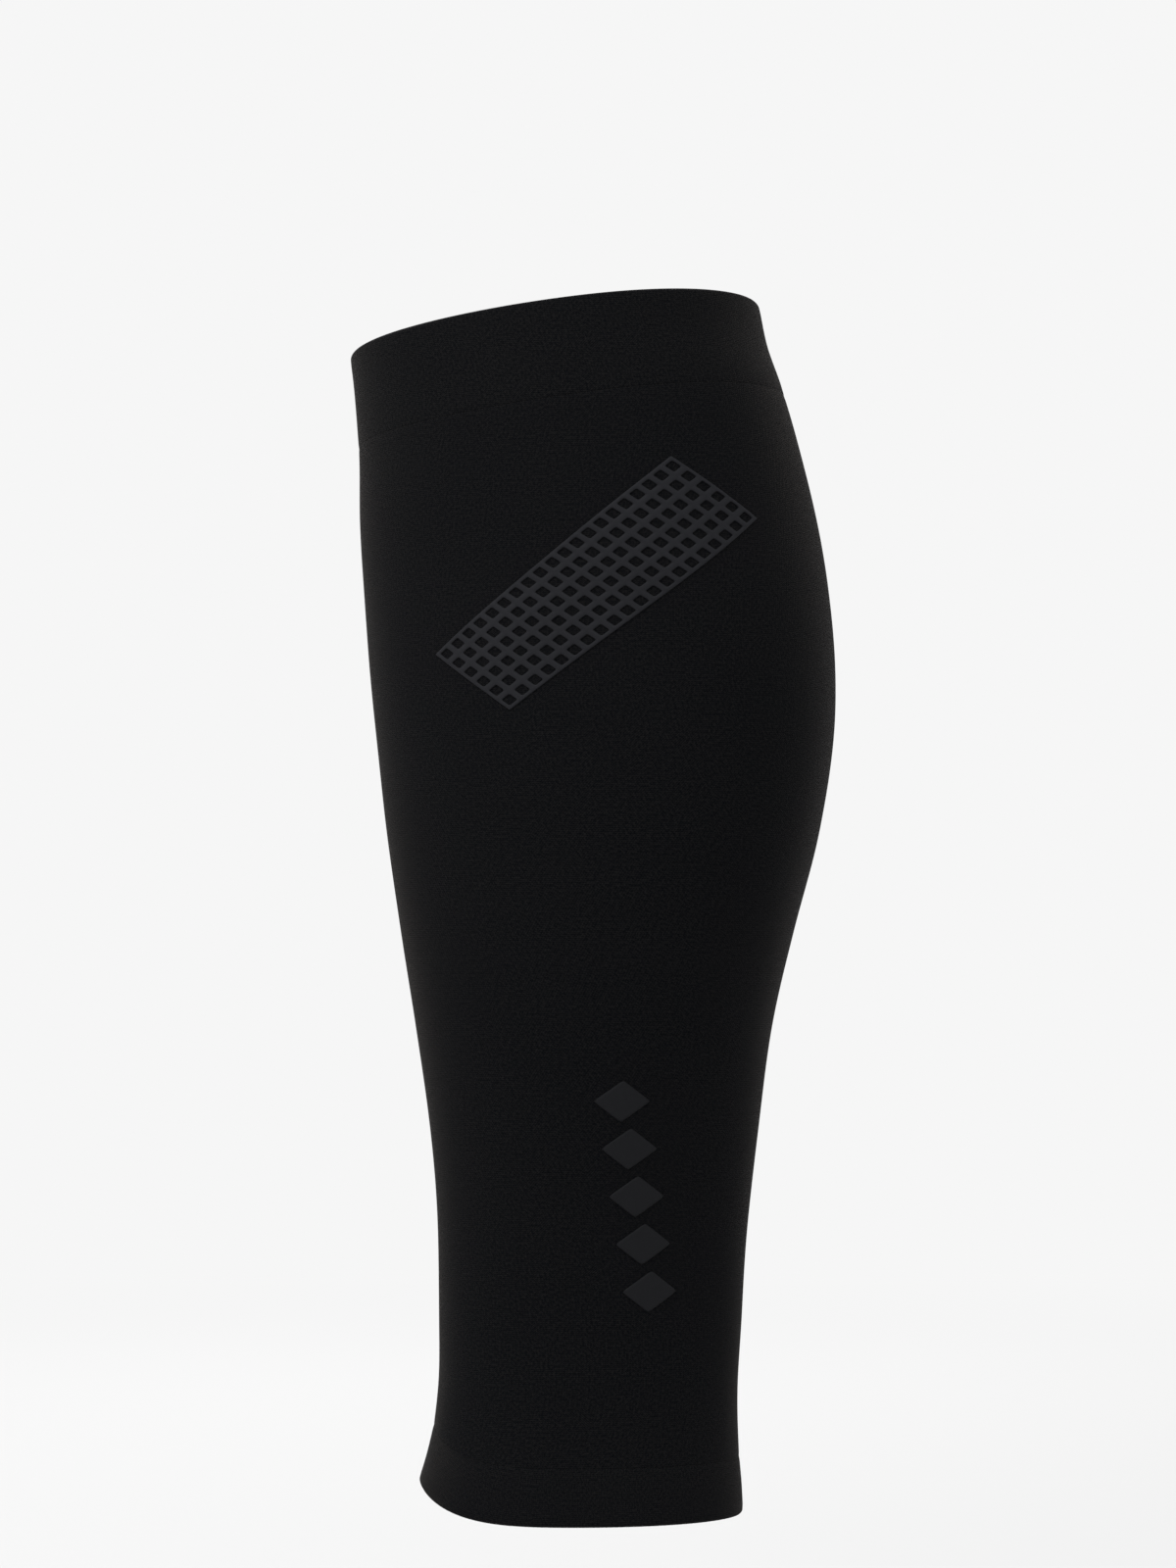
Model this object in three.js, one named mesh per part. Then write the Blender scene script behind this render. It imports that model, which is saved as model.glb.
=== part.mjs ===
// Calf compression sleeve for a left leg, in the form that it has while it is worn.
// Millimetres. +Z runs up the leg, +X points to the back of the calf, and -Y is the outer side of the leg.
// The origin is the middle of the ankle opening, level with the lowest point of the ankle rim.

import * as THREE from "three";
import { mergeGeometries } from "three/addons/utils/BufferGeometryUtils.js";

// The worn form
const sleeveLength = 325; // up to the highest point of the top rim
const calfDepth = 126; // shin to calf, at the fullest section
const calfWidth = 118; // outer to inner side, at the fullest section
const roundness = 2.1; // 2 makes each section an ellipse, and more makes it squarer

// The two rims. Angles are in radians from the back of the calf towards the inner side.
const topRimDrop = 14; // how far the top rim falls from its highest point to the far side
const topRimPeak = -0.2; // angle of its highest point
const instepRise = 8.4; // how far the ankle rim is lifted over the instep
const instepSpread = 0.6; // radians each side of the shin

// Knitted cloth, turned over once at each end
const clothThickness = 1.2;
const hemThickness = 2;
const topHemDepth = 25;
const ankleHemDepth = 15;
const pieceGap = 0.3; // left between neighbouring pieces

// Flatlock seam that closes the cloth into a tube, behind the inner side of the leg
const seamAngle = 0.5;
const seamWidth = 7;
const seamOuterRise = 0.4; // above the cloth's outer face
const seamInnerRise = 0.4; // above its inner face

// Rubbery print on the outer side. Distances run round the leg from its outer meridian towards the calf.
const printThickness = 0.35;

// A slanting net of diamond cells below the top hem
const cellWidth = 7.2;
const cellHeight = 5;
const cellOpening = 0.6; // width of a hole, as a share of its cell
const netLength = 20; // cells, upwards towards the calf
const netBreadth = 6; // cells, upwards towards the shin
const netDistance = -9; // to the middle of the net
const netDrop = 80; // from the highest point of the top rim down to the middle of the net

// A leaning column of plain diamonds above the ankle
const markCount = 5;
const markWidth = 15;
const markHeight = 11;
const markPitch = 12.5;
const markLean = 0.23; // how far it leans towards the shin for each millimetre up
const markDistance = 12.5; // to the middle of the column
const columnHeight = 86; // of the middle of the column

// How finely the surfaces are divided
const segmentsAround = 64;
const segmentsUp = 16;
const hemSegmentsUp = 2;
const seamSegmentsAcross = 2;
const markSegments = 3;
const longestStride = 3; // when a distance is walked round the leg
const angleStep = 0.001; // radians, for measuring a slope round the leg
const heightStep = 1; // for measuring a slope up the leg

// Sections of the worn form from the ankle to the knee. Heights are shares of sleeveLength.
// The shin and the calf lie at shares of calfDepth from the ankle's middle, and the two sides at shares of
// calfWidth. The last column says how far back the section is widest, as a share of its own depth.
const sections = [
  { height: 0.0, shin: 0.38, calf: 0.336, outer: 0.28, inner: 0.292, widest: 0.49 },
  { height: 0.05, shin: 0.334, calf: 0.328, outer: 0.27, inner: 0.28, widest: 0.47 },
  { height: 0.1, shin: 0.314, calf: 0.325, outer: 0.263, inner: 0.27, widest: 0.46 },
  { height: 0.16, shin: 0.312, calf: 0.335, outer: 0.263, inner: 0.27, widest: 0.46 },
  { height: 0.24, shin: 0.315, calf: 0.348, outer: 0.281, inner: 0.287, widest: 0.48 },
  { height: 0.32, shin: 0.333, calf: 0.372, outer: 0.315, inner: 0.329, widest: 0.5 },
  { height: 0.4, shin: 0.362, calf: 0.4, outer: 0.358, inner: 0.383, widest: 0.52 },
  { height: 0.48, shin: 0.395, calf: 0.448, outer: 0.402, inner: 0.446, widest: 0.54 },
  { height: 0.56, shin: 0.425, calf: 0.502, outer: 0.442, inner: 0.495, widest: 0.56 },
  { height: 0.64, shin: 0.448, calf: 0.533, outer: 0.471, inner: 0.517, widest: 0.57 },
  { height: 0.7, shin: 0.463, calf: 0.537, outer: 0.483, inner: 0.517, widest: 0.57 },
  { height: 0.76, shin: 0.475, calf: 0.523, outer: 0.488, inner: 0.503, widest: 0.57 },
  { height: 0.82, shin: 0.484, calf: 0.498, outer: 0.485, inner: 0.486, widest: 0.56 },
  { height: 0.88, shin: 0.487, calf: 0.461, outer: 0.476, inner: 0.471, widest: 0.55 },
  { height: 0.93, shin: 0.496, calf: 0.424, outer: 0.466, inner: 0.457, widest: 0.54 },
  { height: 0.965, shin: 0.509, calf: 0.392, outer: 0.458, inner: 0.448, widest: 0.53 },
  { height: 1.0, shin: 0.522, calf: 0.375, outer: 0.451, inner: 0.44, widest: 0.53 },
];

const shin = Math.PI;
const outerMeridian = -Math.PI / 2;
const fullTurn = 2 * Math.PI;

// A smooth curve up the leg through one column of the table.
function curveOf(name, size) {
  const values = Float64Array.from(sections, (section) => section[name] * size);
  const heights = Float64Array.from(sections, (section) => section.height * sleeveLength);
  const curve = new THREE.CubicInterpolant(heights, values, 1);
  return (height) => curve.evaluate(THREE.MathUtils.clamp(height, 0, sleeveLength))[0];
}

const shinAt = curveOf("shin", calfDepth);
const calfAt = curveOf("calf", calfDepth);
const outerAt = curveOf("outer", calfWidth);
const innerAt = curveOf("inner", calfWidth);
const widestAt = curveOf("widest", 1);

// A point of the cloth's outer face
function outerFace(angle, height) {
  const middle = (shinAt(height) + calfAt(height)) * widestAt(height) - shinAt(height);
  const back = Math.cos(angle);
  const side = Math.sin(angle);
  const depth = THREE.MathUtils.mapLinear(back, -1, 1, shinAt(height) + middle, calfAt(height) - middle);
  const width = THREE.MathUtils.mapLinear(side, -1, 1, outerAt(height), innerAt(height));
  const sum = Math.abs(back / depth) ** roundness + Math.abs(side / width) ** roundness;
  const radius = sum ** (-1 / roundness);
  return new THREE.Vector3(middle + radius * back, radius * side, height);
}

// The direction out of the cloth at a point of its outer face
function outward(angle, height) {
  const round = outerFace(angle + angleStep, height).sub(outerFace(angle - angleStep, height));
  const low = THREE.MathUtils.clamp(height, heightStep, sleeveLength - heightStep) - heightStep;
  const up = outerFace(angle, low + 2 * heightStep).sub(outerFace(angle, low));
  return round.cross(up).normalize();
}

// A point at a distance out of the cloth's outer face, or into the cloth where that is negative
const clothPoint = (angle, height, out) =>
  outerFace(angle, height).addScaledVector(outward(angle, height), out);

// The angle that is reached by walking a distance round the leg at one height
function walkRound(start, height, distance) {
  const strides = Math.max(1, Math.ceil(Math.abs(distance) / longestStride));
  let angle = start;
  for (let i = 0; i < strides; i += 1) {
    const chord = outerFace(angle + angleStep, height).distanceTo(outerFace(angle, height));
    angle += (distance / strides) * (angleStep / chord);
  }
  return angle;
}

const topRim = (angle) => sleeveLength - (topRimDrop * (1 - Math.cos(angle - topRimPeak))) / 2;

function ankleRim(angle) {
  const fromShin = Math.atan2(Math.sin(angle - shin), Math.cos(angle - shin));
  return instepRise * Math.exp(-((fromShin / instepSpread) ** 2));
}

const topHemEdge = (angle) => topRim(angle) - topHemDepth;
const ankleHemEdge = (angle) => ankleRim(angle) + ankleHemDepth;
const belowTopHem = (angle) => topHemEdge(angle) - pieceGap;
const aboveAnkleHem = (angle) => ankleHemEdge(angle) + pieceGap;

// Moves each point of a flat piece to its place on the leg.
function mould(geometry, place) {
  const points = geometry.getAttribute("position");
  const flat = new THREE.Vector3();
  for (let i = 0; i < points.count; i += 1) {
    const placed = place(flat.fromBufferAttribute(points, i));
    points.setXYZ(i, placed.x, placed.y, placed.z);
  }
  geometry.computeVertexNormals();
  return geometry;
}

// A band of cloth that runs round the leg from one edge of the seam to the other.
function clothBand(lowerEdge, upperEdge, thickness, rows) {
  const flat = new THREE.BoxGeometry(1, 1, 1, segmentsAround, rows, 1).translate(0.5, 0.5, -0.5);
  const seamHalf = seamWidth / 2 + pieceGap;
  return mould(flat, ({ x, y, z }) => {
    const edgeAngle = seamAngle + x * fullTurn;
    const height = THREE.MathUtils.lerp(lowerEdge(edgeAngle), upperEdge(edgeAngle), y);
    const from = walkRound(seamAngle, height, seamHalf);
    const to = walkRound(seamAngle, height, -seamHalf) + fullTurn;
    return clothPoint(THREE.MathUtils.lerp(from, to, x), height, z * thickness);
  });
}

function seamStrip() {
  const rows = segmentsUp + 2 * hemSegmentsUp;
  const flat = new THREE.BoxGeometry(seamWidth, 1, 1, seamSegmentsAcross, rows, 1).translate(0, 0.5, 0);
  return mould(flat, ({ x, y, z }) => {
    const low = ankleRim(walkRound(seamAngle, 0, x));
    const high = topRim(walkRound(seamAngle, sleeveLength, x));
    const height = THREE.MathUtils.lerp(low, high, y);
    const inHem = height < ankleHemEdge(seamAngle) || height > topHemEdge(seamAngle);
    const inner = (inHem ? hemThickness : clothThickness) + seamInnerRise;
    return clothPoint(walkRound(seamAngle, height, x), height, z > 0 ? seamOuterRise : -inner);
  });
}

// Places flat points whose x and y run along the edges of a diamond cell, both of them upwards.
function diamondPlace(distance, middleHeight, width, tall) {
  return ({ x, y, z }) => {
    const height = middleHeight + ((x + y) * tall) / 2;
    const angle = walkRound(outerMeridian, height, distance + ((x - y) * width) / 2);
    return clothPoint(angle, height, pieceGap + z * printThickness);
  };
}

// One cell of the net, open at its outer sides: two square faces with the walls of its hole between them.
function netCell(x, y) {
  const corner = Math.SQRT1_2;
  const holeCorner = corner * cellOpening;
  const profile = [
    new THREE.Vector2(corner, 1),
    new THREE.Vector2(holeCorner, 1),
    new THREE.Vector2(holeCorner, 0),
    new THREE.Vector2(corner, 0),
  ];
  return new THREE.LatheGeometry(profile, 4, Math.PI / 4).rotateX(Math.PI / 2).translate(x, y, 0);
}

// The cells stand side by side within the outer walls of a plain plate.
function diamondNet() {
  const plate = new THREE.BoxGeometry(netLength, netBreadth, 1, netLength, netBreadth, 1);
  const sideWalls = [...plate.index.array.slice(0, plate.groups[4].start)];
  const parts = [plate.setIndex(sideWalls).translate(netLength / 2, netBreadth / 2, 0.5)];
  for (let i = 0; i < netLength; i += 1) {
    for (let j = 0; j < netBreadth; j += 1) {
      parts.push(netCell(i + 0.5, j + 0.5));
    }
  }
  const flat = mergeGeometries(parts).translate(-netLength / 2, -netBreadth / 2, 0);
  return mould(flat, diamondPlace(netDistance, sleeveLength - netDrop, cellWidth, cellHeight));
}

function ankleMark(index) {
  const up = (index - (markCount - 1) / 2) * markPitch;
  const flat = new THREE.BoxGeometry(1, 1, 1, markSegments, markSegments, 1).translate(0, 0, 0.5);
  return mould(flat, diamondPlace(markDistance - up * markLean, columnHeight + up, markWidth, markHeight));
}

const knit = new THREE.MeshStandardMaterial({ color: 0x141416, roughness: 0.9, metalness: 0 });
const hemKnit = new THREE.MeshStandardMaterial({ color: 0x161618, roughness: 0.88, metalness: 0 });
const seamThread = new THREE.MeshStandardMaterial({ color: 0x1b1b1d, roughness: 0.8, metalness: 0 });
const greyPrint = new THREE.MeshStandardMaterial({ color: 0x313137, roughness: 0.7, metalness: 0 });

const sleeve = new THREE.Group();

function add(name, geometry, material) {
  const mesh = new THREE.Mesh(geometry, material);
  mesh.name = name;
  sleeve.add(mesh);
}

add("main_panel", clothBand(aboveAnkleHem, belowTopHem, clothThickness, segmentsUp), knit);
add("top_hem", clothBand(topHemEdge, topRim, hemThickness, hemSegmentsUp), hemKnit);
add("ankle_hem", clothBand(ankleRim, ankleHemEdge, hemThickness, hemSegmentsUp), hemKnit);
add("back_seam", seamStrip(), seamThread);
add("net_print", diamondNet(), greyPrint);
for (let i = 0; i < markCount; i += 1) {
  add(`ankle_mark_${i + 1}`, ankleMark(i), greyPrint);
}

export default sleeve;
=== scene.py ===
# Left calf compression sleeve, in the form that it has while it is worn.
# Metres. +Z runs from the ankle end up to the knee end, +X to the back of the calf, -Y to the outer side.
from math import pi, radians

import bpy
import numpy as np
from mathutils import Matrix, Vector


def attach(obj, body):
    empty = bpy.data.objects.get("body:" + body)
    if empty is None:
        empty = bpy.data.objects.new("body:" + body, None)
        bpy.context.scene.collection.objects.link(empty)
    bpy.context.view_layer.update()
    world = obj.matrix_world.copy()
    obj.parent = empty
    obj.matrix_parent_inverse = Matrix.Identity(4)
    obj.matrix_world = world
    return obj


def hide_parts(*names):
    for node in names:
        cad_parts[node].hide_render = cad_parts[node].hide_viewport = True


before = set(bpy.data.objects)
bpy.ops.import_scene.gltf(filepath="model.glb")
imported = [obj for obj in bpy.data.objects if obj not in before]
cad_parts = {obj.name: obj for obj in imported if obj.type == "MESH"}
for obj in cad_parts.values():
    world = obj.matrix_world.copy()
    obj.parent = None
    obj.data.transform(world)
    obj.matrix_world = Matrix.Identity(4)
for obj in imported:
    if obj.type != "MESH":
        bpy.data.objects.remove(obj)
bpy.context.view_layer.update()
mm = 0.001
print("frame loaded:", len(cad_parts), "nodes")

# The worn form, the same as that of the solids. Angles run from the back of the calf to the inner side.
form = {
    "length": 325 * mm,  # up to the highest point of the top rim
    "depth": 126 * mm,  # shin to calf, at the fullest section
    "width": 118 * mm,  # outer to inner side, at the fullest section
    "roundness": 2.1,  # 2 makes each section an ellipse
    "topRimDrop": 14 * mm,  # from the highest point of the rim to the far side
    "topRimPeak": -0.2,  # where it is highest, in radians
    "instepRise": 8.4 * mm,
    "instepSpread": 0.6,  # radians each side of the shin
    "topHemDepth": 25 * mm,
    "ankleHemDepth": 15 * mm,
    "seamAngle": 0.5,  # radians
    "seamWidth": 7 * mm,
    "clothEdge": 0.47,  # from the seam's middle to each edge of the cloth, as a share of its width
}

# Height as a share of the length, shin and calf as shares of the depth, outer and inner side as shares of
# the width, and how far back the section is widest as a share of its own depth
sections = np.array([
    (0.0, 0.38, 0.336, 0.28, 0.292, 0.49),
    (0.05, 0.334, 0.328, 0.27, 0.28, 0.47),
    (0.1, 0.314, 0.325, 0.263, 0.27, 0.46),
    (0.16, 0.312, 0.335, 0.263, 0.27, 0.46),
    (0.24, 0.315, 0.348, 0.281, 0.287, 0.48),
    (0.32, 0.333, 0.372, 0.315, 0.329, 0.5),
    (0.4, 0.362, 0.4, 0.358, 0.383, 0.52),
    (0.48, 0.395, 0.448, 0.402, 0.446, 0.54),
    (0.56, 0.425, 0.502, 0.442, 0.495, 0.56),
    (0.64, 0.448, 0.533, 0.471, 0.517, 0.57),
    (0.7, 0.463, 0.537, 0.483, 0.517, 0.57),
    (0.76, 0.475, 0.523, 0.488, 0.503, 0.57),
    (0.82, 0.484, 0.498, 0.485, 0.486, 0.56),
    (0.88, 0.487, 0.461, 0.476, 0.471, 0.55),
    (0.93, 0.496, 0.424, 0.466, 0.457, 0.54),
    (0.965, 0.509, 0.392, 0.458, 0.448, 0.53),
    (1.0, 0.522, 0.375, 0.451, 0.44, 0.53),
])
shin, outerMeridian, fullTurn = pi, -pi / 2, 2 * pi
smallTurn, smallRise, stride = 0.001, 1 * mm, 1.5 * mm  # steps for slopes and for walks


def sleeveCurve(column, size):
    # a smooth curve up the sleeve through one column of the sections
    heights = sections[:, 0] * form["length"]
    values = sections[:, column] * size
    secants = np.diff(values) / np.diff(heights)
    slopes = np.concatenate([secants[:1], (secants[1:] + secants[:-1]) / 2, secants[-1:]])

    def at(height):
        height = np.clip(height, 0, form["length"])
        low = np.clip(np.searchsorted(heights, height) - 1, 0, len(secants) - 1)
        step = heights[low + 1] - heights[low]
        up = (height - heights[low]) / step
        down = 1 - up
        return (
            (1 + 2 * up) * down**2 * values[low]
            + (1 + 2 * down) * up**2 * values[low + 1]
            + step * up * down * (down * slopes[low] - up * slopes[low + 1])
        )

    return at


shinAt, calfAt = sleeveCurve(1, form["depth"]), sleeveCurve(2, form["depth"])
outerAt, innerAt = sleeveCurve(3, form["width"]), sleeveCurve(4, form["width"])
widestAt = sleeveCurve(5, 1)


def outerFace(angle, height):
    # points of the cloth's outer face
    toShin, toCalf = shinAt(height), calfAt(height)
    toOuter, toInner = outerAt(height), innerAt(height)
    middle = (toShin + toCalf) * widestAt(height) - toShin
    back, side = np.cos(angle), np.sin(angle)
    reachBack = (toShin + toCalf) / 2 + back * ((toCalf - toShin) / 2 - middle)
    reachSide = (toOuter + toInner) / 2 + side * (toInner - toOuter) / 2
    power = form["roundness"]
    radius = (np.abs(back / reachBack) ** power + np.abs(side / reachSide) ** power) ** (-1 / power)
    return np.stack(np.broadcast_arrays(middle + radius * back, radius * side, height), -1)


def outward(angle, height):
    low = np.clip(height, smallRise, form["length"] - smallRise) - smallRise
    around = outerFace(angle + smallTurn, height) - outerFace(angle - smallTurn, height)
    up = outerFace(angle, low + 2 * smallRise) - outerFace(angle, low)
    out = np.cross(around, up)
    return out / np.linalg.norm(out, axis=-1, keepdims=True)


def clothPoint(angle, height, out):
    return outerFace(angle, height) + outward(angle, height) * np.asarray(out)[..., None]


def walkRound(start, height, distance):
    # the angles reached by walking a distance round the sleeve at one height
    strides = max(1, int(np.ceil(np.abs(distance).max() / stride)))
    angle = np.broadcast_to(start, np.broadcast(height, distance).shape).astype(float)
    for _ in range(strides):
        chord = np.linalg.norm(outerFace(angle + smallTurn, height) - outerFace(angle, height), axis=-1)
        angle = angle + distance / strides * smallTurn / chord
    return angle


def topRim(angle):
    return form["length"] - form["topRimDrop"] * (1 - np.cos(angle - form["topRimPeak"])) / 2


def ankleRim(angle):
    fromShin = np.arctan2(np.sin(angle - shin), np.cos(angle - shin))
    return form["instepRise"] * np.exp(-((fromShin / form["instepSpread"]) ** 2))


def clothAngle(share, height):
    # the angle at a share of the way round, from one edge of the cloth to the other
    edge = form["seamWidth"] * form["clothEdge"]
    start = walkRound(form["seamAngle"], height, edge)
    end = walkRound(form["seamAngle"], height, -edge) + fullTurn
    return start + (end - start) * share


# Mesh making
def gridFaces(rows, columns, closeRows=False, closeColumns=False):
    row = np.arange(rows if closeRows else rows - 1)[:, None]
    column = np.arange(columns if closeColumns else columns - 1)[None, :]
    nextRow, nextColumn = (row + 1) % rows, (column + 1) % columns
    corners = [row * columns + column, row * columns + nextColumn, nextRow * columns + nextColumn,
               nextRow * columns + column]
    return np.stack(np.broadcast_arrays(*corners), -1).reshape(-1, 4)


def sew(name, points, faces, pattern=None, ink=None):
    # a mesh object, with the flat pattern's coordinates and the ink's depth of colour for the finishes
    mesh = bpy.data.meshes.new(name)
    mesh.from_pydata(np.reshape(points, (-1, 3)).tolist(), [], [list(face) for face in faces])
    mesh.update()
    mesh.polygons.foreach_set("use_smooth", np.ones(len(mesh.polygons), bool))
    if pattern is not None:
        corners = np.empty(len(mesh.loops), int)
        mesh.loops.foreach_get("vertex_index", corners)
        layer = mesh.uv_layers.new(name="pattern")
        layer.data.foreach_set("uv", np.reshape(pattern, (-1, 2))[corners].ravel())
    if ink is not None:
        layer = mesh.attributes.new("ink", "FLOAT", "POINT")
        layer.data.foreach_set("value", np.ravel(ink))
    piece = bpy.data.objects.new(name, mesh)
    bpy.context.scene.collection.objects.link(piece)
    return piece


# Main panel: one knitted panel with an outer and an inner face and a rounded edge all round
panel = {
    "around": 236,  # points
    "up": 176,
    "edgeRows": np.array([0, 0.3, 0.7, 1.2]) * mm,  # from each hem to the rows next to it
    "cloth": 1.2 * mm,
    "edgeRounding": 0.3 * mm,
    "edgeReach": 0.4 * mm,
    "hemDip": 0.08 * mm,  # the stitching under each hem's edge draws the cloth in
    "dipReach": 0.8 * mm,
    "pucker": 0.12 * mm,  # small gathers that the seam draws in beside it
    "puckerPitch": 5.5 * mm,
    "puckerReach": 5 * mm,
    "swell": 0.25 * mm,  # soft unevenness of the stretched cloth
    "swellFade": 12 * mm,  # from the hems and the seam, where it dies away
    "climbs": (10, 16, 22, 24, 30, 36, 38, 44, 50),  # its waves, in radians from rim to rim
    "mostTurns": 4,  # of a wave, round the sleeve
    "seed": 4,
}


def unevenness(angle, height):
    # broad shallow waves, the same each run
    shifts = np.random.default_rng(panel["seed"]).uniform(0, fullTurn, (len(panel["climbs"]), 2))
    total = 0
    for i, (climb, (roundShift, upShift)) in enumerate(zip(panel["climbs"], shifts)):
        turns = 1 + i % panel["mostTurns"]
        total = total + np.cos(turns * angle + roundShift) * np.cos(climb * height / form["length"] + upShift)
    return total / len(shifts)


def gathers(distance, height):
    near = np.exp(-((distance / panel["puckerReach"]) ** 2))
    return -panel["pucker"] * near * (1 + np.cos(height / panel["puckerPitch"] * fullTurn)) / 2


def dip(fromHem):
    return panel["hemDip"] * np.exp(-((fromHem / panel["dipReach"]) ** 2))


def sewMainPanel():
    rows, columns = panel["up"], panel["around"]
    share = np.linspace(0, 1, columns)[None, :]
    nearHem = panel["edgeRows"] / form["length"]
    between = np.linspace(0, 1, rows - 2 * len(nearHem) + 2)[1:-1]
    rise = np.concatenate([nearHem, between, 1 - nearHem[::-1]])[:, None]
    edgeAngle = form["seamAngle"] + share * fullTurn
    low = ankleRim(edgeAngle) + form["ankleHemDepth"]
    high = topRim(edgeAngle) - form["topHemDepth"]
    height = low + (high - low) * rise
    angle = clothAngle(share, height)
    girth = np.linalg.norm(np.diff(outerFace(angle, height), axis=1), axis=-1)
    across = np.concatenate([np.zeros((rows, 1)), np.cumsum(girth, 1)], 1)
    fromSeam = np.minimum(across, across[:, -1:] - across)
    fromHem = np.minimum(height - low, high - height)
    swell = panel["swell"] * unevenness(angle, height)
    swell = swell * (1 - np.exp(-np.minimum(fromHem, fromSeam) / panel["swellFade"]))
    rounding = panel["edgeRounding"] * np.exp(-fromSeam / panel["edgeReach"])
    out = swell + gathers(fromSeam, height) - dip(fromHem) - rounding
    inner = out - panel["cloth"] + 2 * rounding
    outerSheet, innerSheet = clothPoint(angle, height, out), clothPoint(angle, height, inner)
    count = rows * columns
    faces = gridFaces(rows, columns)
    rim = np.concatenate([
        np.arange(columns),
        np.arange(1, rows) * columns + columns - 1,
        count - 2 - np.arange(columns - 1),
        (rows - 2 - np.arange(rows - 2)) * columns,
    ])
    after = np.roll(rim, -1)
    edge = np.stack([after, rim, rim + count, after + count], 1)
    pattern = np.stack([across, height], -1)
    return sew("mainPanel", np.concatenate([outerSheet.reshape(-1, 3), innerSheet.reshape(-1, 3)]),
               np.concatenate([faces, faces[:, ::-1] + count, edge]), np.concatenate([pattern, pattern]))


mainPanel = sewMainPanel()
print("main panel sewn")

# Hems: the cloth turned over at each end, so that its rim is a round fold
hem = {
    "around": 236,  # points
    "faceRows": 16,
    "foldPoints": 13,
    "turnPoints": 5,
    "thickness": 2 * mm,
    "turn": 0.8 * mm,  # radius of the inner layer's edge
    "swell": 0.22 * mm,  # how far the doubled cloth stands out between its rim and its edge
    "swellFlatness": 0.8,  # under 1 makes the swell flatter
    "innerSwell": 0.3,  # share of the swell that the inner face has
    "gatherFrom": 3 * mm,  # the seam gathers the doubled cloth less, and over a greater width
    "gatherSpread": 60 * mm,
    "girth": 360 * mm,  # for the knit's pattern
}


def foldedProfile(depth):
    # pairs of distance from the rim and distance out, from the outer edge over the fold to the inner edge
    thickness, turn = hem["thickness"], hem["turn"]
    fold = np.linspace(0, pi, hem["foldPoints"])
    quarter = np.linspace(0, pi / 2, hem["turnPoints"])
    along = np.linspace(depth, thickness / 2, hem["faceRows"])[2:-1]
    along = np.concatenate([depth - panel["edgeRows"], along])
    rise = hem["swell"] * np.clip(np.sin(pi * along / depth), 0, 1) ** hem["swellFlatness"]
    face = np.stack([along, rise - dip(depth - along)], 1)
    over = thickness / 2 * np.stack([1 - np.sin(fold), np.cos(fold) - 1], 1)
    inside = np.stack([along[::-1], -thickness - hem["innerSwell"] * rise[::-1]], 1)
    back = np.stack([depth - turn + turn * np.sin(quarter), turn - thickness - turn * np.cos(quarter)], 1)
    return np.concatenate([face, over, inside, back])


def sewHem(name, rim, direction, depth):
    profile = foldedProfile(depth)
    columns = hem["around"]
    share = np.linspace(0, 1, columns)[None, :]
    edgeAngle = form["seamAngle"] + share * fullTurn
    height = rim(edgeAngle) + direction * profile[:, :1]
    angle = clothAngle(share, height)
    fromSeam = hem["gatherFrom"] + hem["gatherSpread"] * np.minimum(share, 1 - share)
    points = clothPoint(angle, height, profile[:, 1:] + gathers(fromSeam, height))
    walked = np.cumsum(np.abs(np.diff(profile[:, :1], axis=0, prepend=0)), 0)
    pattern = np.stack(np.broadcast_arrays(share * hem["girth"], rim(edgeAngle) + walked), -1)
    faces = gridFaces(len(profile), columns, closeRows=True)
    starts = np.arange(len(profile)) * columns
    ends = np.stack([starts, starts[::-1] + columns - 1])
    if direction > 0:
        faces, ends = faces[:, ::-1], ends[:, ::-1]
    return sew(name, points, [*faces.tolist(), *ends.tolist()], pattern)


topHem = sewHem("topHem", topRim, -1, form["topHemDepth"])
ankleHem = sewHem("ankleHem", ankleRim, 1, form["ankleHemDepth"])
print("hems sewn")

# Back seam: a flat strip under four rows of needle stitches, with a thread that zigzags between them
seam = {
    "outerRise": 0.22 * mm,
    "innerRise": 0.2 * mm,
    "stripSides": 28,  # points round the strip
    "stripRows": 260,
    "squareness": 0.35,  # less makes the strip a flatter band with tighter shoulders
    "endRounding": 0.6 * mm,
    "endPoints": 5,
    "endLeast": 0.03,  # how far the rounding goes, as a share of its own height
    "endNarrowing": 0.1,  # share of the width
    "hemBlend": 1 * mm,
    "endGap": 1 * mm,  # from the rims to the stitches
    "thread": 0.19 * mm,  # radius
    "threadSides": 6,
    "threadFacing": 0.3,  # threads face away from a point this share of the way out to them
    "zigzag": 1.1 * mm,  # from one crossing to the next
    "zigzagReach": 3.05 * mm,
    "zigzagTurn": 1.12,  # over 1 lets the thread run straight where it turns back
    "zigzagPoints": 6,
    "zigzagLift": 0.9,  # in thread radii, as the next three are
    "zigzagWave": 0.4,
    "stitchLift": 1.9,
    "stitchSunk": 0.6,
    "zigzagWaves": 3,  # half waves in a crossing
    "stitch": 2.1 * mm,  # length
    "stitchShare": 0.94,  # the part of it that shows
    "stitchPoints": 6,
    "stitchLean": 0.12 * mm,
    "rows": (-2.7 * mm, -0.9 * mm, 0.9 * mm, 2.7 * mm),  # from the middle
}

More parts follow.
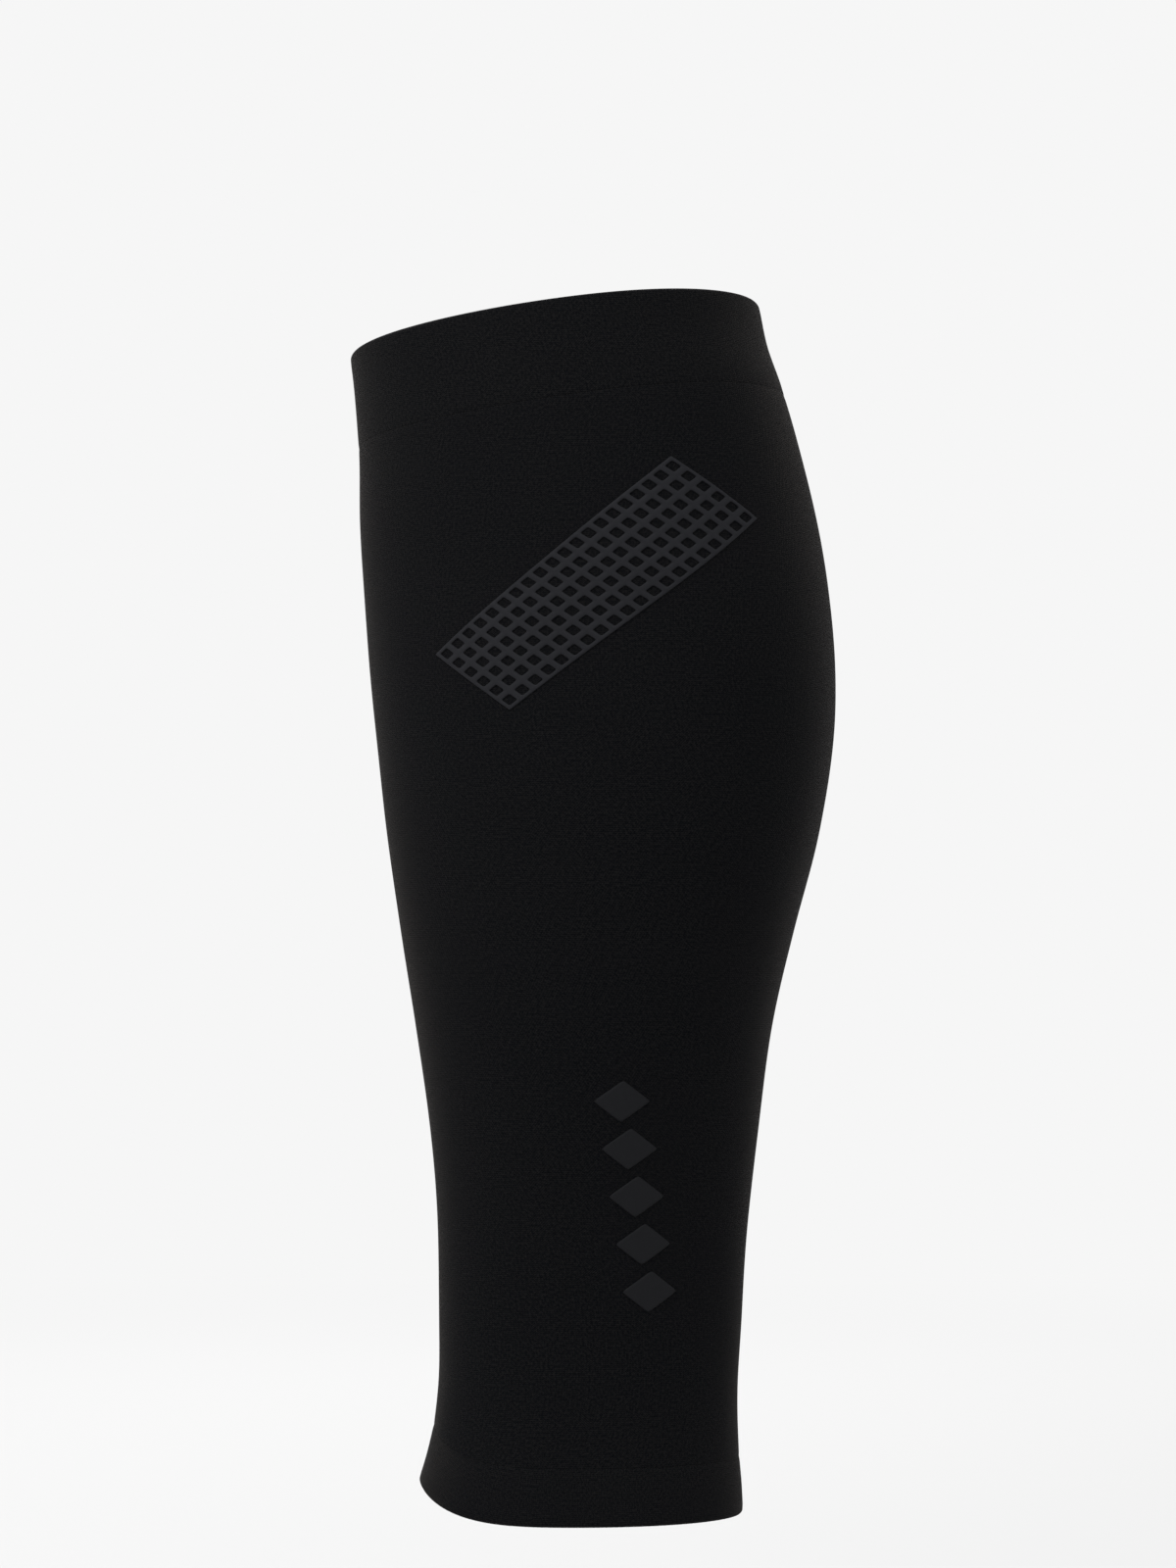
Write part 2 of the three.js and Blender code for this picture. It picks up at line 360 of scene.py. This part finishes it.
# Bar tacks: upright threads packed side by side, which lock each end of the seam
tack = {
    "above": 2.6 * mm,  # from the rim to its middle
    "tall": 1.9 * mm,
    "wide": 7.4 * mm,
    "pitch": 0.323 * mm,
    "thread": 0.2375 * mm,  # radius
    "points": 7,
    "slant": 0.15 * mm,
    "hump": 0.75 * mm,
    "humpFlatness": 0.4,
    "sunk": 0.25 * mm,
}


def seamPoint(across, height, out):
    return clothPoint(walkRound(form["seamAngle"], height, across), height, out)


def seamThickness(height):
    # thicker where the hems are turned
    fromEdge = np.minimum(height - ankleRim(form["seamAngle"]) - form["ankleHemDepth"],
                          topRim(form["seamAngle"]) - form["topHemDepth"] - height)
    inHem = (1 - np.tanh(fromEdge / seam["hemBlend"])) / 2
    return panel["cloth"] + (hem["thickness"] - panel["cloth"]) * inHem


def sewSeamStrip():
    half, sides = form["seamWidth"] / 2, seam["stripSides"]
    around = np.linspace(0, fullTurn, sides, endpoint=False)[None, :]
    across = half * np.sign(np.cos(around)) * np.abs(np.cos(around)) ** seam["squareness"]
    upright = np.sign(np.sin(around)) * np.abs(np.sin(around)) ** seam["squareness"]
    low, high = ankleRim(form["seamAngle"]), topRim(form["seamAngle"])
    ends = seam["endRounding"] * (1 - np.cos(np.linspace(0, pi / 2, seam["endPoints"])))
    between = np.linspace(low, high, seam["stripRows"])[2:-2]
    height = np.concatenate([low + ends, between, high - ends[::-1]])[:, None]
    fromEnd = np.minimum(height - low, high - height)
    taper = np.sqrt(np.clip(fromEnd / seam["endRounding"], seam["endLeast"], 1))
    outer, inner = seam["outerRise"], -seamThickness(height) - seam["innerRise"]
    out = (outer + inner) / 2 + (outer - inner) / 2 * upright * taper
    points = seamPoint(across * (1 - seam["endNarrowing"] * (1 - taper)), height, out)
    faces = gridFaces(len(height), sides, closeColumns=True)[:, ::-1].tolist()
    last = (len(height) - 1) * sides
    caps = [list(range(sides)), list(range(last + sides - 1, last - 1, -1))]
    pattern = np.stack(np.broadcast_arrays(across, height), -1)
    return sew("backSeam", points, faces + caps, pattern)


def threadMesh(paths, radius):
    # closed tubes along many paths of the same number of points
    sides = seam["threadSides"]
    along = np.gradient(paths, axis=1)
    along /= np.linalg.norm(along, axis=-1, keepdims=True)
    level = paths * (1, 1, 0)
    aside = np.cross(along, level - level.mean((0, 1)) * seam["threadFacing"])
    aside /= np.linalg.norm(aside, axis=-1, keepdims=True)
    over = np.cross(along, aside)
    turn = np.linspace(0, fullTurn, sides, endpoint=False)
    ring = aside[:, :, None] * np.cos(turn)[:, None] + over[:, :, None] * np.sin(turn)[:, None]
    points = paths[:, :, None] + radius * ring
    count, length = paths.shape[:2]
    lid = np.array([(0, i, i + 1, i + 2) for i in range(1, sides - 1, 2)])
    tube = np.concatenate([
        gridFaces(length, sides, closeColumns=True), lid[:, ::-1], lid + (length - 1) * sides,
    ])
    faces = (tube[None] + (np.arange(count) * length * sides)[:, None, None]).reshape(-1, 4)
    return points.reshape(-1, 3), faces


def joinMeshes(parts):
    points, faces, start = [], [], 0
    for partPoints, partFaces in parts:
        points.append(partPoints)
        faces.append(partFaces + start)
        start += len(partPoints)
    return np.concatenate(points), np.concatenate(faces)


def seamThreads(side):
    # side is 1 on the outer face of the seam and -1 on its inner face
    low, high = ankleRim(form["seamAngle"]) + seam["endGap"], topRim(form["seamAngle"]) - seam["endGap"]

    def place(across, height, lift):
        outer = seam["outerRise"] + lift
        inner = -seamThickness(height) - seam["innerRise"] - lift
        return seamPoint(across, height, outer if side > 0 else inner)

    crossings = int((high - low) / seam["zigzag"])
    step = np.linspace(0, crossings, crossings * seam["zigzagPoints"] + 1)
    swing = 2 * np.abs((step / 2) % 1 - 0.5) * 2 - 1
    across = seam["zigzagReach"] * np.clip(swing * seam["zigzagTurn"], -1, 1)
    height = low + (high - low) * step / crossings
    lift = seam["zigzagLift"] + seam["zigzagWave"] * np.cos(step * pi * seam["zigzagWaves"])
    parts = [threadMesh(place(across, height, seam["thread"] * lift)[None], seam["thread"])]

    count = int((high - low) / seam["stitch"])
    share = np.linspace(0, 1, seam["stitchPoints"])[None, :]
    start = low + (high - low) * np.arange(count)[:, None] / count
    height = start + share * seam["stitch"] * seam["stitchShare"]
    lift = seam["stitchLift"] * np.sqrt(np.sin(pi * share)) - seam["stitchSunk"]
    lean = seam["stitchLean"] * (share - 0.5)
    for row in seam["rows"]:
        parts.append(threadMesh(place(row + lean, height, seam["thread"] * lift), seam["thread"]))
    return joinMeshes(parts)


def barTack(middleHeight):
    threads = int(tack["wide"] / tack["pitch"])
    across = np.linspace(-0.5, 0.5, threads)[:, None] * tack["wide"]
    share = np.linspace(-0.5, 0.5, tack["points"])[None, :]
    slant = tack["slant"] * share * (-1) ** np.arange(threads)[:, None]
    hump = tack["hump"] * np.cos(pi * share) ** tack["humpFlatness"] - tack["sunk"]
    paths = seamPoint(across + slant, middleHeight + share * tack["tall"], seam["outerRise"] + hump)
    return threadMesh(paths, tack["thread"])


backSeam = sewSeamStrip()
outerThreads = sew("outerSeamThreads", *seamThreads(1))
innerThreads = sew("innerSeamThreads", *seamThreads(-1))
ankleTack = sew("ankleBarTack", *barTack(ankleRim(form["seamAngle"]) + tack["above"]))
topTack = sew("topBarTack", *barTack(topRim(form["seamAngle"]) - tack["above"]))
print("seam sewn")

# Net print: a slanting net of diamond cells. Distances run round the sleeve from its outer side.
net = {
    "cellWidth": 7.2 * mm,
    "cellHeight": 5 * mm,
    "length": 20,  # cells, upwards towards the calf
    "breadth": 6,  # cells, upwards towards the shin
    "distance": -9 * mm,  # to the middle of the net
    "drop": 80 * mm,  # from the highest point of the top rim
    "thickness": 0.32 * mm,
    "opening": 0.6,  # width of a hole, as a share of its cell
    "holeRound": 0.09,  # corner radius of a hole, as a share of a cell
    "bevel": 0.045,  # soft edge of the ink, as a share of a cell
    "perSide": 6,  # points along each side of a cell
    "decimals": 6,  # to which the shared points of neighbouring cells agree
}

# How far the ink reaches outside the net and over the rim of a hole, as shares of the bevel, its height there
# as a share of its thickness, and its depth of colour
netEdge = (
    (0, 1, 1, 1),
    (0.6, 0.3, 0.8, 0.55),
    (1, 0, 0.35, 0.1),
    (1, 0, -1, 0),
)

# Ankle marks: a leaning column of plain diamonds
marks = {
    "count": 5,
    "width": 15 * mm,
    "height": 11 * mm,
    "pitch": 12.5 * mm,
    "lean": 0.23,  # sideways for each metre up
    "distance": 12.5 * mm,
    "middle": 86 * mm,  # height of the column's middle
    "corner": 0.05,
    "flatRings": np.linspace(0.04, 0.46, 9),  # half widths, as shares of the whole
    "perSide": 8,
}

# Half width, height as a share of the ink's thickness, and depth of colour
markEdge = (
    (0.485, 0.85, 0.6),
    (0.5, 0.35, 0.1),
    (0.5, -1, 0),
)


def diamondPlace(flat, distance, middleHeight, width, tall):
    # x and y of a flat point run along the edges of a diamond, both of them upwards, and z is in metres
    x, y, z = flat[..., 0], flat[..., 1], flat[..., 2]
    height = middleHeight + (x + y) * tall / 2
    angle = walkRound(outerMeridian, height, distance + (x - y) * width / 2)
    return clothPoint(angle, height, z + panel["swell"] * unevenness(angle, height))


def squareRing(half, perSide, corner=0):
    # points round a square, evenly along its sides, with its corners rounded
    side = np.linspace(-1, 1, perSide, endpoint=False)
    ones = np.ones(perSide)
    ring = np.concatenate([np.stack(pair, 1) for pair in
                           ((side, -ones), (ones, side), (-side, ones), (-ones, -side))]) * half
    core = half - corner
    nearest = np.clip(ring, -core, core)
    away = ring - nearest
    length = np.linalg.norm(away, axis=1, keepdims=True)
    aboveZero = 1e-9  # for the division
    rounded = nearest + away / np.maximum(length, aboveZero) * corner
    return np.where(length > 0, rounded, ring) if corner else ring


def layeredRings(layers, perSide):
    # each layer is half of the square's width, its rounding, its height and its depth of colour
    rings, depths = [], []
    for half, corner, z, depth in layers:
        ring = squareRing(half, perSide, corner)
        rings.append(np.column_stack([ring, np.full(len(ring), z)]))
        depths.append(np.full(len(ring), depth))
    faces = gridFaces(len(layers), 4 * perSide, closeColumns=True)
    return np.concatenate(rings), np.concatenate(depths), faces


def printNet():
    hole, bevel, thick, corner = net["opening"] / 2, net["bevel"], net["thickness"], net["holeRound"]
    length, breadth, perSide = net["length"], net["breadth"], net["perSide"]
    rim = [(hole + bevel * over, corner, thick * height, depth) for _, over, height, depth in netEdge]
    ring, ringDepth, faces = layeredRings([(0.5, 0, thick, 1), *rim, (0.5, 0, -thick, 0)], perSide)
    columns, rows = np.meshgrid(np.arange(length) + 0.5, np.arange(breadth) + 0.5)
    middles = np.stack([columns.ravel() - length / 2, rows.ravel() - breadth / 2], 1)
    cells = np.repeat(ring[None], len(middles), 0)
    cells[..., :2] += middles[:, None]
    cells = cells.reshape(-1, 3)
    cellFaces = (faces[None] + (np.arange(len(middles)) * len(ring))[:, None, None]).reshape(-1, 4)

    # the outer walls of the net
    x = np.linspace(-0.5, 0.5, length * perSide, endpoint=False) * length
    y = np.linspace(-0.5, 0.5, breadth * perSide, endpoint=False) * breadth
    farX, farY = np.full(len(y), length / 2), np.full(len(x), breadth / 2)
    border = np.concatenate([
        np.column_stack([x, -farY]),
        np.column_stack([farX, y]),
        np.column_stack([-x, farY]),
        np.column_stack([-farX, -y]),
    ])
    outside = np.sign(border) * (np.abs(border) >= (length / 2, breadth / 2))
    walls, depths = [cells], [np.tile(ringDepth, len(middles))]
    profile = [*netEdge, (0, 0, -1, 0)]
    for spread, _, height, depth in profile:
        wall = border + outside * bevel * spread
        walls.append(np.column_stack([wall, np.full(len(wall), thick * height)]))
        depths.append(np.full(len(border), depth))
    wallFaces = gridFaces(len(profile), len(border), closeColumns=True)[:, ::-1] + len(cells)

    # neighbouring cells share their points
    flat = np.concatenate(walls)
    shared = np.round(flat, net["decimals"])
    kept, merged = np.unique(shared, axis=0, return_index=True, return_inverse=True)[1:]
    flat, depths = flat[kept], np.concatenate(depths)[kept]
    faces = merged.ravel()[np.concatenate([cellFaces, wallFaces])]
    middle = form["length"] - net["drop"]
    placed = diamondPlace(flat, net["distance"], middle, net["cellWidth"], net["cellHeight"])
    return sew("netPrint", placed, faces, flat[:, :2] * net["cellWidth"], depths)


def printMark(index):
    thick, corner = net["thickness"], marks["corner"]
    layers = [(half, corner * half, thick, 1) for half in marks["flatRings"]]
    layers += [(half, corner, thick * height, depth) for half, height, depth in markEdge]
    flat, depths, faces = layeredRings(layers, marks["perSide"])
    top = list(range(4 * marks["perSide"]))
    under = [len(flat) - 1 - point for point in top]
    up = (index - (marks["count"] - 1) / 2) * marks["pitch"]
    placed = diamondPlace(flat, marks["distance"] - up * marks["lean"], marks["middle"] + up,
                          marks["width"], marks["height"])
    faces = [*faces[:, ::-1].tolist(), top, under]
    return sew(f"ankleMark{index + 1}", placed, faces, flat[:, :2] * marks["width"], depths)


netPrint = printNet()
ankleMarks = [printMark(index) for index in range(marks["count"])]
print("print laid on")


# Finishes
class Wire:
    # a shader socket that takes part in sums
    def __init__(self, finish, socket):
        self.finish, self.socket = finish, socket

    def sum(self, operation, *terms):
        return self.finish.node("ShaderNodeMath", {"operation": operation}, dict(enumerate(terms)))

    def __add__(self, other):
        return self.sum("ADD", self, other)

    def __sub__(self, other):
        return self.sum("SUBTRACT", self, other)

    def __rsub__(self, other):
        return self.sum("SUBTRACT", other, self)

    def __mul__(self, other):
        return self.sum("MULTIPLY", self, other)

    def __truediv__(self, other):
        return self.sum("DIVIDE", self, other)

    def __mod__(self, other):
        return self.sum("FLOORED_MODULO", self, other)

    def __abs__(self):
        return self.sum("ABSOLUTE", self)

    __radd__, __rmul__ = __add__, __mul__

    def sine(self):
        return self.sum("SINE", self)


class Finish:
    def __init__(self, name):
        self.material = bpy.data.materials.new(name)
        self.material.use_nodes = True
        self.tree = self.material.node_tree
        self.tree.nodes.clear()

    def node(self, kind, settings=None, inputs=None, output=0):
        made = self.tree.nodes.new(kind)
        for name, value in (settings or {}).items():
            setattr(made, name, value)
        for name, value in (inputs or {}).items():
            if isinstance(value, Wire):
                self.tree.links.new(value.socket, made.inputs[name])
            else:
                made.inputs[name].default_value = value
        return Wire(self, made.outputs[output]) if made.outputs else made

    def blend(self, share, first, second):
        # sockets 6 and 7 of a Mix node are its two colours, and output 2 is the colour that it makes
        return self.node("ShaderNodeMix", {"data_type": "RGBA"}, {0: share, 6: first, 7: second}, 2)

    def noise(self, where, scale, detail=2.0):
        # detail counts the layers of finer and finer noise
        return self.node("ShaderNodeTexNoise", None, {"Vector": where, "Scale": scale, "Detail": detail})

    def cover(self, fixed, colour, roughness, relief, depth):
        normal = self.node("ShaderNodeBump", None, {"Strength": 1.0, "Distance": depth, "Height": relief})
        shader = self.node("ShaderNodeBsdfPrincipled", None,
                           {**fixed, "Base Color": colour, "Roughness": roughness, "Normal": normal})
        self.node("ShaderNodeOutputMaterial", None, {"Surface": shader})
        return self.material


def dye(red, green, blue):
    return (red, green, blue, 1)


fineDetail = 3.0
knitLook = {
    "wale": 0.72 * mm,  # width of a column of stitches
    "course": 0.5 * mm,  # height of a row of stitches
    "slant": 0.55,  # how far the legs of a stitch rise towards its sides, in rows
    "legDip": 0.9,  # how much lower a leg lies at its sides
    "drift": 260.0,  # noise scales, for each metre
    "fuzz": 1500.0,
    "patches": 22.0,
    "columnDrift": 0.5,
    "rowDrift": 0.8,
    "tone": {"stitches": 0.8, "fuzz": 3, "patches": 0.4, "start": 1.6},
    "relief": 0.1 * mm,
    "fuzzRelief": 0.6,
    "dark": dye(0.0006, 0.0009, 0.0016),
    "pale": dye(0.0060, 0.0058, 0.0061),
    "roughness": 0.77,
    "roughnessDrift": 0.1,
    "fixed": {
        "Specular IOR Level": 0.05,
        "Sheen Weight": 0.035,
        "Sheen Roughness": 0.25,
        # the sheen's warm tint is a painted reflection: it stands in for warm light thrown onto the rims by
        # the leg, which the scene leaves out
        "Sheen Tint": dye(1, 0.85, 0.75),
    },
}
hemLook = {**knitLook, "pale": dye(0.0067, 0.0065, 0.0067)}
threadLook = {
    "twist": 0.45 * mm,
    "fuzz": 3200.0,
    "slubs": 400.0,
    "tone": {"ply": 0.5, "slubs": 0.6},
    "relief": 0.05 * mm,
    "dark": dye(0.004, 0.004, 0.0048),
    "pale": dye(0.0090, 0.0089, 0.0098),
    "roughness": 0.6,
    "roughnessDrift": 0.1,
    "fixed": {"Specular IOR Level": 0.2, "Sheen Weight": 0.05, "Sheen Roughness": 0.4},
}
inkLook = {
    "grain": 1400.0,
    "wear": 90.0,
    "tone": {"grain": 0.7, "wear": 0.5, "start": 0.1},
    "relief": 0.04 * mm,
    "cloth": knitLook["dark"],
    "ink": dye(0.0096, 0.0099, 0.0122),
    "worn": dye(0.0062, 0.0064, 0.0082),
    "roughness": 0.62,
    "roughnessDrift": 0.1,
    "fixed": {"Specular IOR Level": 0.12, "Sheen Weight": 0.02},
}
markLook = {**inkLook, "ink": dye(0.0052, 0.0054, 0.0067), "worn": dye(0.0037, 0.0039, 0.0049)}


def knitPattern(finish, look):
    # relief of the stitches, from the flat pattern's distances in metres
    pattern = finish.node("ShaderNodeUVMap", {"uv_map": "pattern"})
    across = finish.node("ShaderNodeSeparateXYZ", None, {"Vector": pattern}, "X")
    up = finish.node("ShaderNodeSeparateXYZ", None, {"Vector": pattern}, "Y")
    drift = finish.noise(pattern, look["drift"]) - 0.5
    column = across / look["wale"] + drift * look["columnDrift"]
    fromMiddle = abs(column % 1 - 0.5)
    row = up / look["course"] + fromMiddle * (2 * look["slant"]) + drift * look["rowDrift"]
    legs = (row * fullTurn).sine() * 0.5 + 0.5
    return pattern, legs * (1 - fromMiddle * look["legDip"])


def knitFinish(name, look):
    finish = Finish(name)
    pattern, stitches = knitPattern(finish, look)
    place = finish.node("ShaderNodeTexCoord", output="Object")
    fuzz = finish.noise(pattern, look["fuzz"], fineDetail)
    patches = finish.noise(place, look["patches"], fineDetail)
    part = look["tone"]
    tone = stitches * part["stitches"] + fuzz * part["fuzz"] + patches * part["patches"] - part["start"]
    colour = finish.blend(tone, look["dark"], look["pale"])
    roughness = patches * look["roughnessDrift"] + look["roughness"]
    relief = stitches + fuzz * look["fuzzRelief"]
    return finish.cover(look["fixed"], colour, roughness, relief, look["relief"])


def threadFinish(name, look):
    finish = Finish(name)
    place = finish.node("ShaderNodeTexCoord", output="Object")
    height = finish.node("ShaderNodeSeparateXYZ", None, {"Vector": place}, "Z")
    fuzz = finish.noise(place, look["fuzz"])
    ply = ((height / look["twist"] + fuzz) * fullTurn).sine() * 0.5 + 0.5
    tone = ply * look["tone"]["ply"] + finish.noise(place, look["slubs"]) * look["tone"]["slubs"]
    colour = finish.blend(tone, look["dark"], look["pale"])
    roughness = fuzz * look["roughnessDrift"] + look["roughness"]
    return finish.cover(look["fixed"], colour, roughness, ply + fuzz, look["relief"])


def inkFinish(name, look):
    # rubbery ink that wears to a darker tone and thins out to the cloth's at its edges
    finish = Finish(name)
    depth = finish.node("ShaderNodeAttribute", {"attribute_name": "ink"}, None, "Fac")
    place = finish.node("ShaderNodeTexCoord", output="Object")
    grain = finish.noise(place, look["grain"], fineDetail)
    wear = finish.noise(place, look["wear"], fineDetail)
    tone = grain * look["tone"]["grain"] + wear * look["tone"]["wear"] - look["tone"]["start"]
    colour = finish.blend(depth, look["cloth"], finish.blend(tone, look["worn"], look["ink"]))
    roughness = grain * look["roughnessDrift"] + look["roughness"]
    return finish.cover(look["fixed"], colour, roughness, grain, look["relief"])


knit = knitFinish("blackKnit", knitLook)
hemKnit = knitFinish("turnedKnit", hemLook)
thread = threadFinish("blackThread", threadLook)
netInk = inkFinish("greyInk", inkLook)
markInk = inkFinish("darkInk", markLook)

root = "root"
stitched = [outerThreads, innerThreads, ankleTack, topTack]
dressing = [(mainPanel, knit, "knit"), (topHem, hemKnit, "hem"), (ankleHem, hemKnit, "hem"),
            (backSeam, hemKnit, "seam"), (netPrint, netInk, "print")]
dressing += [(piece, thread, "seam") for piece in stitched]
dressing += [(mark, markInk, "print") for mark in ankleMarks]
for piece, finish, slot in dressing:
    piece.data.materials.append(finish)
    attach(piece, root)
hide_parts("main_panel")
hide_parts("top_hem")
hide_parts("ankle_hem")
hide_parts("back_seam")
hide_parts("net_print")
for index, mark in enumerate(ankleMarks):
    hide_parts(f"ankle_mark_{index + 1}")

print("finishes on")

# Studio: a pale floor well below the ankle, a pale room round it, a soft light at each side
studio = {
    "pale": 0.922,  # grey of the room and of the far floor
    "floorDrop": 0.1,  # below the ankle rim
    "floorRadius": 6.0,
    "floorSides": 64,
    "floorDye": 0.565,  # grey of the near floor
    "fadeFrom": 0.5,  # distances over which the floor turns into the room
    "fadeTo": 2.2,
    "roomLight": 1.0,
    "shinLight": {"place": (-1.5, -0.6, 0.9), "size": 1.1, "power": 6},
    "seamLight": {"place": (-0.2, 1.9, 1.3), "size": 1.2, "power": 18},
    "topLight": {"place": (-0.75, -1.1, 2.1), "size": 1.0, "power": 38},
}
aim = Vector((0, 0, form["length"] / 2))


def layFloor():
    ring = np.linspace(0, fullTurn, studio["floorSides"], endpoint=False)
    circle = np.column_stack([np.cos(ring), np.sin(ring), 0 * ring]) * studio["floorRadius"]
    floor = sew("floor", circle - (0, 0, studio["floorDrop"]), [range(studio["floorSides"])])
    finish = Finish("paleFloor")
    place = finish.node("ShaderNodeTexCoord", output="Object")
    away = finish.node("ShaderNodeVectorMath", {"operation": "LENGTH"}, {"Vector": place}, "Value")
    fade = finish.node("ShaderNodeMapRange", {"interpolation_type": "SMOOTHSTEP"},
                       {"Value": away, "From Min": studio["fadeFrom"], "From Max": studio["fadeTo"]})
    matt = finish.node("ShaderNodeBsdfDiffuse", None, {"Color": dye(*[studio["floorDye"]] * 3)})
    glow = finish.node("ShaderNodeEmission", None, {"Color": dye(*[studio["pale"]] * 3), "Strength": 1.0})
    both = finish.node("ShaderNodeMixShader", None, {0: fade, 1: matt, 2: glow})
    finish.node("ShaderNodeOutputMaterial", None, {"Surface": both})
    floor.data.materials.append(finish.material)


def hangLight(name, place, size, power):
    lamp = bpy.data.lights.new(name, "AREA")
    lamp.shape, lamp.size, lamp.energy = "DISK", size, power
    light = bpy.data.objects.new(name, lamp)
    light.location = place
    light.rotation_euler = (aim - light.location).to_track_quat("-Z", "Y").to_euler()
    bpy.context.scene.collection.objects.link(light)


layFloor()
hangLight("shinLight", **studio["shinLight"])
hangLight("seamLight", **studio["seamLight"])
hangLight("topLight", **studio["topLight"])
room = bpy.data.worlds.new("room")
room.use_nodes = True
air = room.node_tree.nodes["Background"]
air.inputs["Color"].default_value = dye(*[studio["pale"]] * 3)
air.inputs["Strength"].default_value = studio["roomLight"]
bpy.context.scene.world = room
bpy.context.scene.view_settings.view_transform = "Standard"

# Camera: level with the middle of the calf's lower half and about a metre away
lens = {"place": (0.0008, -1.1, 0.144), "tilt": 2.68, "millimetres": 93.4}  # tilted up, in degrees
camera = bpy.data.objects.new("camera", bpy.data.cameras.new("camera"))
camera.location = lens["place"]
camera.rotation_euler = (radians(90 + lens["tilt"]), 0, 0)
camera.data.lens = lens["millimetres"]
bpy.context.scene.collection.objects.link(camera)
bpy.context.scene.camera = camera
print("studio set")
